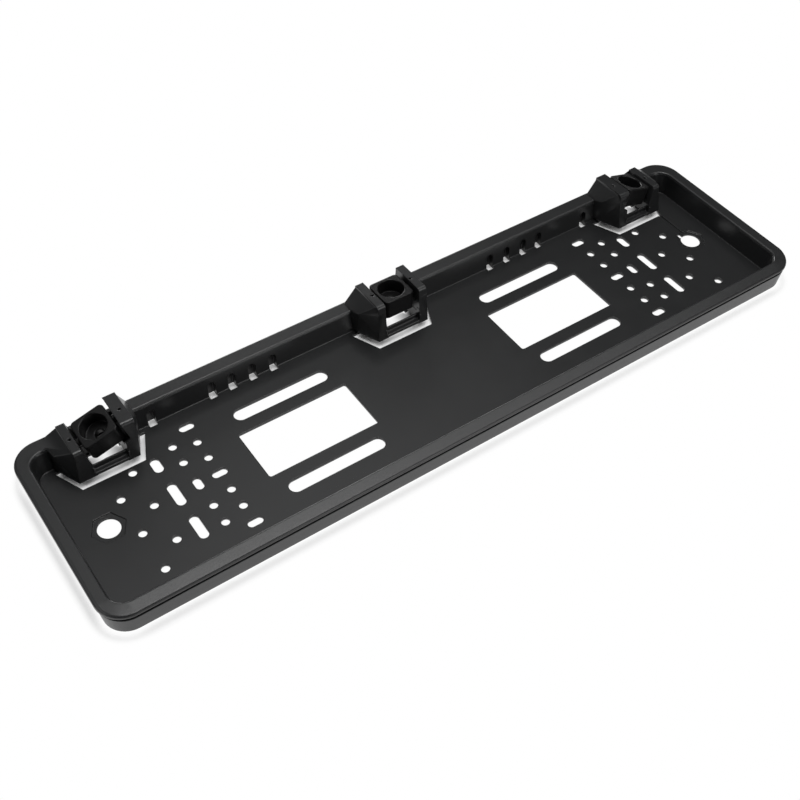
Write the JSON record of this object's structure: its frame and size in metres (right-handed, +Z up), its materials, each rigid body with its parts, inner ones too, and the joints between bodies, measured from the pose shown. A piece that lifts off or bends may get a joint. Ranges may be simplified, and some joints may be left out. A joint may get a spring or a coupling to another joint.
{
  "type": "number plate holder",
  "caption": "Shallow rectangular tray with a raised rim, windows, slots and screw holes in its floor, and three tilting sensor holders in brackets moulded on one long wall.",
  "frame": {"origin": "middle of the resting face, under the centre of the tray", "axes": "+X along the length, +Y across the tray toward the brackets, +Z up out of the floor"},
  "size_m": [0.54, 0.143, 0.0342],
  "materials": {
    "black_moulding": "satin",
    "holder_moulding": "matte"
  },
  "bodies": {
    "base": {"tray": "black_moulding"},
    "holder_left": {"holder_left": "holder_moulding"},
    "holder_centre": {"holder_centre": "holder_moulding"},
    "holder_right": {"holder_right": "holder_moulding"}
  },
  "joints": [
    {"name": "tilt_left", "type": "hinge", "parent": "base", "child": "holder_left", "pos_m": [-0.2177, 0.054, 0.0242], "axis": [0.9613, 0, 0.2756], "range_deg": [-15, 15]},
    {"name": "tilt_centre", "type": "hinge", "parent": "base", "child": "holder_centre", "pos_m": [0, 0.054, 0.0254], "axis": [1, 0, 0], "range_deg": [-15, 15]},
    {"name": "tilt_right", "type": "hinge", "parent": "base", "child": "holder_right", "pos_m": [0.2177, 0.054, 0.0242], "axis": [0.9613, 0, -0.2756], "range_deg": [-15, 15]}
  ]
}
